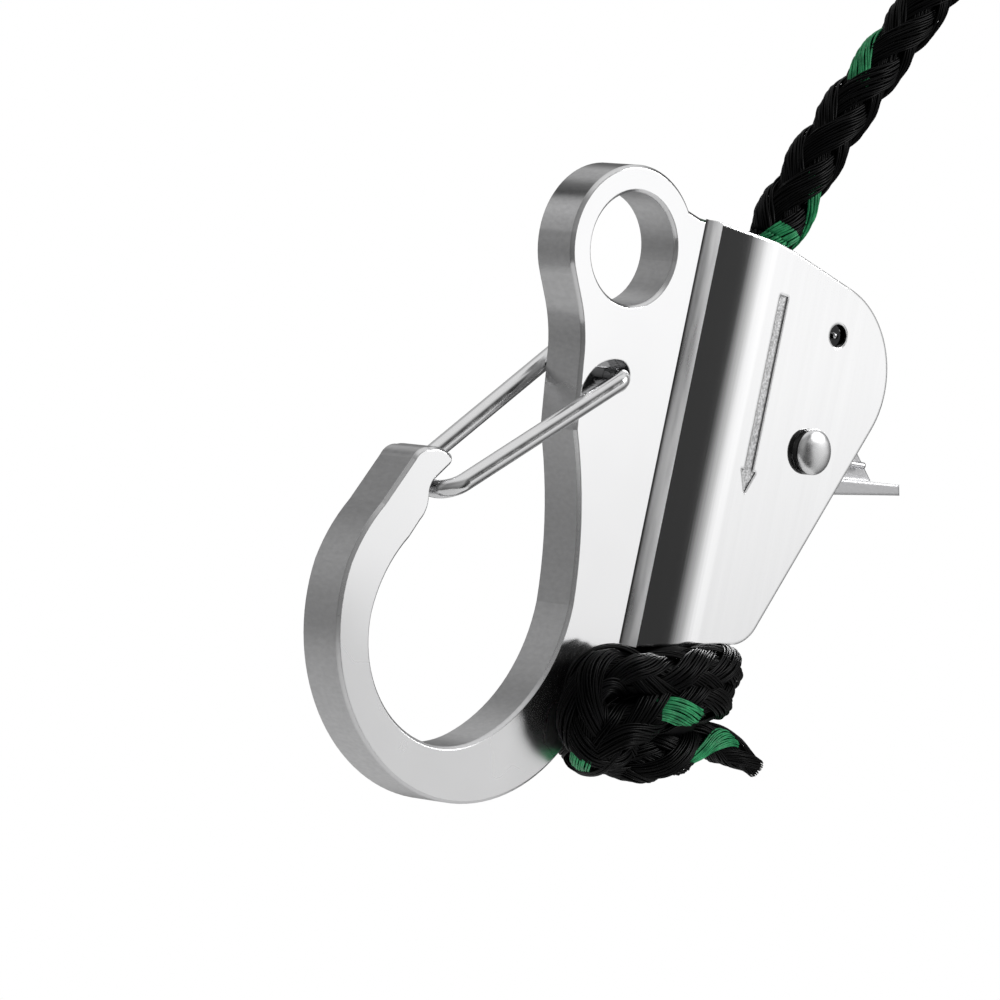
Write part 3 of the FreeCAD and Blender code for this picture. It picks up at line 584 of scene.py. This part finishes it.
def braid(heap, line, start, scale, seed, tracers):
    """Eight strands of parallel filaments, four each way, that pass over and under each other.

    start is the length of rope before the line's first point, so that pieces of one rope
    continue each other; scale holds the rope's thickness at each point of the line. Each of
    the tracers names a strand and the stretch of it, in mm, that is dyed green.
    """
    random = np.random.default_rng(seed)
    side, other = carried_frames(line)
    along = length_along(line, start)
    middle = (along[1:] + along[:-1]) / 2 / MM
    for way in (1, -1):
        for strand in range(STRANDS_EACH_WAY):
            green = np.zeros(len(middle), int)
            for tracer_way, tracer_strand, first, last in tracers:
                if (tracer_way, tracer_strand) == (way, strand):
                    green |= (middle > first) & (middle < last)
            for position in np.linspace(-1, 1, FILAMENTS):
                wobble = slow_wave(random, along, 0.03, (0.25, 0.6))
                uneven = slow_wave(random, along, 0.15 * MM, (0.2, 0.5))
                centres, outward = strand_line(
                    line, (side, other), along, scale, way, strand, position, wobble, uneven
                )
                running = unit(np.gradient(centres, axis=0))
                across = unit(np.cross(running, outward))
                up = np.cross(across, running)
                heap.add(*tube(centres, up, across, FILAMENT_RADIUS * scale, FILAMENT_SIDES), green)
    heap.add(*tube(line, side, other, CORE_RADIUS * scale, CORE_SIDES))
    return along[-1]


def rope_piece(name, heap, node):
    piece = heap.piece(name, [ROPE_BLACK, ROPE_GREEN])
    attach(piece, BODY)
    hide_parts(node)
    return piece


# (way, strand, from, to) with the last two in mm along the rope
LINE_TRACERS = ((1, 0, 90.0, 104.5), (-1, 0, 100.0, 119.0), (-1, 1, 144.0, 164.0))
# From the knot, up the lock and out under tension
ROUTE = mm(
    [
        (30, 0, -87),
        (30, 0, -34),
        (41.4, 0, 2),
        (47.4, 0, 17),
        (55, 0, 36),
        (70, 0, 62.5),
        (86.2, 0, 88.6),
    ]
)
EXIT_HEIGHT = 12.0 * MM
# So far below the exit the loaded stretch begins, so that the two stretches meet
OVERLAP = 1.2 * ROPE_STEP
# Height and thickness: squeezed by the cam, swollen where the rope comes free, then drawn thin
THICKNESS = {-60: 0.94, -45: 0.90, 2: 0.93, 9: 1.03, 15: 1.12, 30: 1.08, 60: 1.0}

route = spline_points("rope_route", ROUTE, ROPE_STEP)
inside = route[route[:, 2] <= EXIT_HEIGHT]
outside = route[route[:, 2] >= EXIT_HEIGHT - OVERLAP]
thickness = np.interp(route[:, 2], mm(list(THICKNESS)), list(THICKNESS.values()))

heap = Heap()
braid(heap, inside, 0.0, thickness[: len(inside)], 11, LINE_TRACERS)
rope_piece("rope_through_lock", heap, "rope_in_lock")

heap = Heap()
gap = len(route) - len(outside)
before = length_along(route)[gap]
rope_run = braid(heap, outside, before, thickness[gap:], 12, LINE_TRACERS)
line_rope = rope_piece("rope_under_load", heap, "rope_line")


# ---------------------------------------------------------------- the rope's end

LEAN = math.radians(31.0)
EYE_BASE = Vector((86.235, 0.0, 88.56)) * MM
EYE_UP = Vector((math.sin(LEAN), 0.0, math.cos(LEAN)))
EYE_SIDE = Vector((math.cos(LEAN), 0.0, -math.sin(LEAN)))
EYE_CENTRE = (0.0, 0.0, 31.5)


def in_eye(points):
    """Points given as (across, towards the rear, along the rope) from the rope's end, in mm."""
    axes = np.array([EYE_SIDE, (0.0, 1.0, 0.0), EYE_UP])
    return np.array(EYE_BASE) + mm(points) @ axes


EYE_ROUTE = in_eye(
    [
        (0, 0, -1.5),
        (-0.5, 0, 3),
        (-4.6, 0, 7),
        (-4.8, 0, 13),
        (-9.0, 0, 18),
        (-13.3, 0, 26),
        (-12.6, 0, 37),
        (-6.4, 0, 44.6),
        (6.4, 0, 44.6),
        (12.6, 0, 37),
        (13.3, 0, 26),
        (9.0, 0, 18),
        (4.8, 0, 13),
        (4.7, 0, 6),
        (4.9, 0, -0.5),
    ]
)
EYE_TRACERS = ((1, 0, 200.0, 330.0),)
# Part of the way round and thickness: the legs are squeezed where the whipping holds them
EYE_THICKNESS = {0: 0.98, 0.08: 0.80, 0.16: 0.95, 0.86: 0.95, 0.97: 0.84, 1: 0.9}


def thickness_along(line, thickness):
    part_way = np.linspace(0, 1, len(line))
    return np.interp(part_way, list(thickness), list(thickness.values()))


eye_line = spline_points("eye_route", EYE_ROUTE, ROPE_STEP)
heap = Heap()
braid(heap, eye_line, rope_run, thickness_along(eye_line, EYE_THICKNESS), 13, EYE_TRACERS)
eye_rope = rope_piece("rope_eye_braid", heap, "rope_eye")

TWINE_RADIUS = 0.62
# The bottom, the top, the number of turns and how far the layer stands out, in mm
TWINE_LAYERS = ((0.9, 11.2, 8.2, 0.0), (4.0, 8.2, 3.3, 0.85))
STEPS_PER_TURN = 40


def whipping():
    """Twine wound tightly round the two legs of the eye, with a second, shorter layer over it."""
    heap = Heap()
    leg_offset, half_width, half_depth = 4.35, 4.75 - TWINE_RADIUS * 0.6, 4.95
    straightness, sway, sway_pace, layer_rise = 1.7, 0.08, 0.37, 0.7
    for layer, (bottom, top, turns, swell) in enumerate(TWINE_LAYERS):
        angle = np.linspace(0, 2 * math.pi * turns, int(turns * STEPS_PER_TURN))
        height = np.linspace(bottom, top, len(angle)) + sway * np.sin(angle * sway_pace + layer)
        # straight across from one leg to the other, round at both ends
        straight = np.clip(np.cos(angle) * straightness, -1, 1) * leg_offset
        across = straight + (half_width + swell * layer_rise) * np.cos(angle)
        depth = (half_depth + swell * layer_rise) * np.sin(angle)
        line = in_eye(np.stack([across, depth, height], axis=1))
        side, other = carried_frames(line, tuple(EYE_UP))
        heap.add(*tube(line, side, other, TWINE_RADIUS * MM, sides=8))
    return heap.piece("eye_whipping", [TWINE])


seizing = whipping()
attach(seizing, BODY)
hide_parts("eye_seizing")


LATHE_SIDES = 96


def lathe(name, profile, place, axes, material, closed=False):
    """Turns (radius, height) points about axes[2]; a closed profile gives a ring."""
    count = len(profile)
    angles = np.linspace(0, 2 * math.pi, LATHE_SIDES, endpoint=False)
    first, second, axis = (np.array(a, float) for a in axes)
    verts = []
    for angle in angles:
        outward = math.cos(angle) * first + math.sin(angle) * second
        verts += [np.array(place) + outward * r * MM + axis * h * MM for r, h in profile]
    faces = []
    last = count if closed else count - 1
    for i in range(LATHE_SIDES):
        j = (i + 1) % LATHE_SIDES
        for k in range(last):
            n = (k + 1) % count
            faces.append((i * count + k, j * count + k, j * count + n, i * count + n))
    if not closed:
        faces.append(tuple(reversed([i * count for i in range(LATHE_SIDES)])))
        faces.append(tuple(i * count + count - 1 for i in range(LATHE_SIDES)))
    return mesh_object(name, verts, faces, [material])


def thimble_profile():
    """A crescent: it hugs the rope outside and bulges smoothly into the hole."""
    half_width, groove, bend, hole, lip = 4.5, 5.35, 13.0, 6.2, 1.1
    widths = np.linspace(-half_width, half_width, 17)
    outer = [(bend - math.sqrt(groove**2 - y**2), y) for y in widths]
    inner = [(hole + (r - lip - hole) * (abs(y) / half_width) ** 2, y) for r, y in outer]
    return outer + inner[::-1]


thimble = lathe(
    "eye_thimble_ring",
    thimble_profile(),
    in_eye([EYE_CENTRE])[0],
    (EYE_SIDE, EYE_UP, (0, 1, 0)),
    METAL["thimble"],
    closed=True,
)
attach(thimble, BODY)
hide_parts("eye_thimble")


# ---------------------------------------------------------------- stopper knot

KNOT_ROUTE = mm(
    [
        (30, 0, -84.5),
        (31, 1, -93),
        (33, 4, -101),
        (36, 2, -107),
        # bottom turn, then up the left side in front of the plate
        (28, -5, -108.6),
        (16, -11, -109.3),
        (8.5, -12.6, -107),
        (5.7, -12.8, -100.6),
        (7.1, -12.8, -94.6),
        (12.7, -13.2, -91.6),
        # upper band across the front, round the right side and back behind
        (20, -14.2, -92.4),
        (27.7, -14.2, -90.8),
        (39.1, -13.2, -87.2),
        (49.5, -8.5, -84.8),
        (54.0, 0, -84.8),
        (48, 8.2, -88.0),
        (36, 8.6, -92),
        (25, 6.8, -101),
        # under the plate's edge and across the front again, lower down
        (19.5, 0, -109),
        (14.5, -10, -110.5),
        (12.5, -14.8, -107.5),
        (17.9, -15, -102.8),
        (25.8, -15.2, -98),
        (35.3, -14, -94.2),
        (45, -11, -91.9),
        (52, -4, -90.6),
        (52.5, 2.5, -93),
        (46, 7.6, -97),
        (36, 6.5, -104),
        (28, 2, -108),
        # the end comes round the bottom and out under the lower band
        (24, -5.5, -109.0),
        (31, -9, -108.8),
        (38, -8.5, -106.8),
        (44, -6.5, -103.6),
        (50, -5, -101),
        (58, -4.7, -101.2),
        (64, -5, -102.8),
        (69.0, -5, -104.2),
    ]
)
KNOT_TRACERS = ((-1, 3, 168.0, 182.0), (1, 1, 197.0, 211.0), (-1, 3, 292.0, 312.0))
KNOT_THICKNESS = {0: 0.9, 0.02: 0.95, 0.06: 1.0, 0.90: 1.0, 0.95: 0.80, 1.0: 0.42}
# Centres and radii of the dark masses that close the view between the knot's turns
FILLERS = (((34.0, -3.0, -98.0), (14.5, 9.5, 10.0)), ((39.5, -2.0, -86.4), (13.5, 8.5, 5.8)))


def add_filler(heap, centre, radii):
    rings, sides = 14, 22
    verts, faces = [], []
    for i in range(rings + 1):
        up = math.pi * i / rings
        for j in range(sides):
            turn = 2 * math.pi * j / sides
            point = (math.sin(up) * math.cos(turn), math.sin(up) * math.sin(turn), math.cos(up))
            verts.append([(c + r * p) * MM for c, r, p in zip(centre, radii, point)])
    for i in range(rings):
        for j in range(sides):
            k = (j + 1) % sides
            faces.append((i * sides + j, (i + 1) * sides + j, (i + 1) * sides + k, i * sides + k))
    heap.add(np.array(verts), faces)


knot_line = spline_points("knot_route", KNOT_ROUTE, ROPE_STEP)
heap = Heap()
braid(heap, knot_line, 0.0, thickness_along(knot_line, KNOT_THICKNESS), 14, KNOT_TRACERS)
for centre, radii in FILLERS:
    add_filler(heap, centre, radii)
rope_piece("stopper_knot_braid", heap, "stopper_knot")


# ---------------------------------------------------------------- torsion spring

PIVOT = (63.0, 0.0, -32.2)
COIL_RADIUS = 6.7
COIL_FRONT, COIL_REAR = -4.6, -1.0
COIL_TURNED = 2 * 2 * math.pi
SPRING_WIRE_RADIUS = 0.8 * MM
SPRING_STEP = 0.35 * MM


def spring_line():
    """From the hole in the cheek, down to the coil, twice round it and out over the tab."""
    px, _, pz = PIVOT
    leg = [
        (64.6, -7.3, -5.0),
        (64.6, -5.6, -5.0),
        (64.65, COIL_FRONT, -5.9),
        (69.2, COIL_FRONT, -28.0),
    ]
    turned = np.linspace(0.02, COIL_TURNED, 120)
    depth = np.interp(turned, [0, COIL_TURNED], [COIL_FRONT, COIL_REAR])
    across, up = COIL_RADIUS * np.cos(turned), COIL_RADIUS * np.sin(turned)
    coil = list(zip(px + across, depth, pz - up))
    out = [(71.5, COIL_REAR, -32.5), (79.5, COIL_REAR, -31.4), (87.4, COIL_REAR, -30.7)]
    return mm(leg + coil + out)


def torsion_spring():
    line = spline_points("spring_route", spring_line(), SPRING_STEP)
    side, other = carried_frames(line, (1.0, 0.0, 0.0))
    heap = Heap()
    heap.add(*tube(line, side, other, SPRING_WIRE_RADIUS, sides=12))
    return heap.piece("torsion_spring_wire", [METAL["spring"]])


spring = torsion_spring()
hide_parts("torsion_spring", "spring_tab_leg")
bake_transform(spring)


# ---------------------------------------------------------------- rivet

# (radius, height) of the peened tail; heights run from the pivot's middle to the front
RIVET_TAIL = [
    (0.01, -11.2),
    (1.4, -11.15),
    (2.6, -10.95),
    (3.6, -10.6),
    (4.4, -10.1),
    (4.85, -9.6),
    (4.88, -9.22),
]


def rivet_profile():
    """The tail, the shank through the cheeks, the skirt and the dome of the front head."""
    shank, head, middle = 4.0, 5.2, 0.01
    washer_face, cheek_face, skirt_top, crown = -9.2, 8.0, 9.5, 1.5
    body = [(shank, washer_face), (shank, cheek_face), (head, cheek_face + 0.02), (head, skirt_top)]
    dome = []
    steps = 12
    for i in range(1, steps + 1):
        angle = math.radians(90 * i / steps)
        radius = middle + (head - middle) * math.cos(angle) ** 0.8
        dome.append((radius, skirt_top + crown * math.sin(angle)))
    return RIVET_TAIL + body + dome


rivet = lathe(
    "pivot_rivet",
    rivet_profile(),
    mm(PIVOT),
    ((1, 0, 0), (0, 0, 1), (0, -1, 0)),
    METAL["rivet"],
)
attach(rivet, BODY)
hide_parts("pivot_pin")


# ---------------------------------------------------------------- studio

# Azimuth from +X in degrees, brightness
AROUND = [
    (-180, 0.30),
    (-168, 0.20),
    (-130, 0.30),
    (-92, 0.36),
    (-84, 0.14),
    (-74, 0.04),
    (-56.3, 0.04),
    (-55.4, 0.18),
    (-53.7, 0.40),
    (-52.0, 0.62),
    (-50.4, 0.95),
    (-49.2, 1.12),
    (-47.5, 1.00),
    (-45.5, 0.94),
    (-40, 0.96),
    (-36, 0.88),
    (-26, 0.60),
    (-12, 0.22),
    (10, 0.12),
    (54, 0.15),
    (66, 0.50),
    (84, 0.42),
    (97, 0.12),
    (112, 0.08),
    (119, 0.52),
    (126, 0.62),
    (134, 0.36),
    (150, 0.32),
    (165, 0.40),
    (180, 0.30),
]
# Heights on the unit sphere, and what the brightness is multiplied by at both ends
RISING = (0.055, 0.112, 0.78, 1.06)
SINKING = (-0.30, -0.02, 0.75, 1.0)
OVERHEAD, OVERHEAD_BRIGHTNESS = (0.60, 0.92), 0.85
KEY_AIM = Vector((0.02, 0.0, -0.03))
FLOOR_HALF_WIDTH, FLOOR_HEIGHT = 0.42, -0.27


def make_world():
    """A studio of bright and dark walls with a pale ceiling; the camera itself sees white."""
    world = bpy.data.worlds.new("studio")
    world.use_nodes = True
    bpy.context.scene.world = world
    tree = world.node_tree
    background = tree.nodes["Background"]
    where = add_node(tree, "ShaderNodeTexCoord")
    parts = add_node(tree, "ShaderNodeSeparateXYZ")
    tree.links.new(where.outputs["Generated"], parts.inputs["Vector"])
    height = parts.outputs["Z"]
    azimuth = add_node(tree, "ShaderNodeMath", operation="ARCTAN2")
    tree.links.new(parts.outputs["Y"], azimuth.inputs[0])
    tree.links.new(parts.outputs["X"], azimuth.inputs[1])
    turned = ranged(tree, azimuth.outputs[0], -math.pi, math.pi, 0.0, 1.0)
    ramp = add_node(tree, "ShaderNodeValToRGB")
    stops = ramp.color_ramp.elements
    while len(stops) < len(AROUND):
        stops.new(0.5)
    for stop, (degrees, value) in zip(stops, AROUND):
        stop.position = (degrees + 180) / 360
        stop.color = (value, value, value, 1.0)
    tree.links.new(turned, ramp.inputs["Fac"])
    shade = product(tree, ramp.outputs["Color"], ranged(tree, height, *RISING))
    shade = product(tree, shade, ranged(tree, height, *SINKING, smooth=True))
    overhead = ranged(tree, height, *OVERHEAD, 0.0, 1.0, smooth=True)
    shade = mixed(tree, overhead, shade, OVERHEAD_BRIGHTNESS)
    path = add_node(tree, "ShaderNodeLightPath")
    level = mixed(tree, path.outputs["Is Camera Ray"], shade, 1.0)
    tree.links.new(level, background.inputs["Strength"])
    background.inputs["Color"].default_value = (1.0, 1.0, 1.0, 1.0)


def make_key_light(place, size, power):
    data = bpy.data.lights.new("key", "AREA")
    data.shape = "SQUARE"
    data.size = size
    data.energy = power
    lamp = bpy.data.objects.new("key", data)
    bpy.context.scene.collection.objects.link(lamp)
    lamp.location = place
    lamp.rotation_euler = (KEY_AIM - Vector(place)).to_track_quat("-Z", "Y").to_euler()


def make_floor():
    corners = ((-1, -1), (1, -1), (1, 1), (-1, 1))
    verts = [(x * FLOOR_HALF_WIDTH, y * FLOOR_HALF_WIDTH, FLOOR_HEIGHT) for x, y in corners]
    item, tree, shader = new_material("floor_pale")
    noise = stretched_noise(tree, 3.0)
    tone = mixed_colour(tree, noise, (0.88, 0.88, 0.88), (0.92, 0.92, 0.92))
    tree.links.new(tone, shader.inputs["Base Color"])
    shader.inputs["Roughness"].default_value = 0.6
    floor = mesh_object("floor", verts, [(0, 1, 2, 3)], [item], smooth=False)


make_world()
make_floor()
make_key_light(place=(0.9, -0.9, 0.75), size=0.5, power=8.0)
bpy.context.scene.view_settings.view_transform = "Standard"
